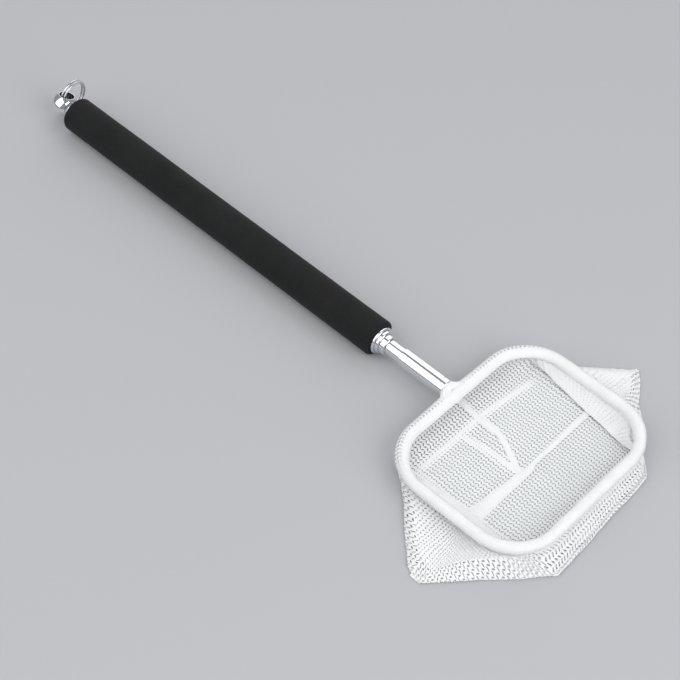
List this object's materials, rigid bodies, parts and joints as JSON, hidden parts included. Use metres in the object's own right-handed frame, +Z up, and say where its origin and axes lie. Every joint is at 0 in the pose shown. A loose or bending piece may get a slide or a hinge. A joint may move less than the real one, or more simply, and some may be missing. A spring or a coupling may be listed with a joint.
{
  "type": "telescopic aquarium net",
  "caption": "Hand net for an aquarium: foam-covered telescopic chrome pole with a ball end and split ring, and a rounded rectangular hoop that carries a white mesh bag.",
  "frame": {"origin": "on the table under the middle of the closed net's length, on the pole's centre line", "axes": "+X along the pole from the handle to the net, +Z up, the closed net lying flat"},
  "size_m": [0.316, 0.1404, 0.0174],
  "materials": {
    "foam": "matte fine-celled foam",
    "chrome_tube": "polished",
    "chrome_ball": "polished",
    "chrome_ferrule": "polished",
    "ring_steel": "plated spring wire",
    "brass": "turned",
    "spring_steel": "rolled spring strip",
    "hoop_steel": "drawn wire",
    "hem_mesh": "knitted mesh, rolled",
    "bag_mesh": "knitted open mesh",
    "seam_mesh": "sewn mesh layers"
  },
  "bodies": {
    "handle": {"foam_grip": "foam", "outer_tube": "chrome_tube", "end_plug": "chrome_ball", "end_ball": "chrome_ball"},
    "hanging_ring": {"split_ring": "ring_steel"},
    "stage_2": {"tube_2": "chrome_tube", "tube_2_bush": "brass", "tube_2_clip": "spring_steel"},
    "stage_3": {"tube_3": "chrome_tube", "tube_3_bush": "brass", "tube_3_clip": "spring_steel"},
    "net_head": {"tube_4": "chrome_tube", "tube_4_bush": "brass", "tube_4_clip": "spring_steel", "ferrule": "chrome_ferrule", "tail_plug": "brass", "hoop_wire": "hoop_steel", "hem": "hem_mesh", "bag_wall_front": "bag_mesh", "bag_wall_left": "bag_mesh", "bag_wall_back": "bag_mesh", "bag_wall_right": "bag_mesh", "bag_floor": "bag_mesh", "bag_ear_left": "bag_mesh", "bag_ear_right": "bag_mesh", "bottom_seam": "seam_mesh", "side_seam": "seam_mesh"}
  },
  "joints": [
    {"name": "ring_swing", "type": "hinge", "parent": "handle", "child": "hanging_ring", "pos_m": [-0.15199, 0, 0.008], "axis": [0, 0.3665, 0.9304], "range_deg": [-44, 212]},
    {"name": "tube_2_slide", "type": "slide", "parent": "handle", "child": "stage_2", "axis": [1, 0, 0], "range_m": [0, 0.1675]},
    {"name": "tube_3_slide", "type": "slide", "parent": "stage_2", "child": "stage_3", "axis": [1, 0, 0], "range_m": [0, 0.1551]},
    {"name": "tube_4_slide", "type": "slide", "parent": "stage_3", "child": "net_head", "axis": [1, 0, 0], "range_m": [0, 0.1437]}
  ]
}
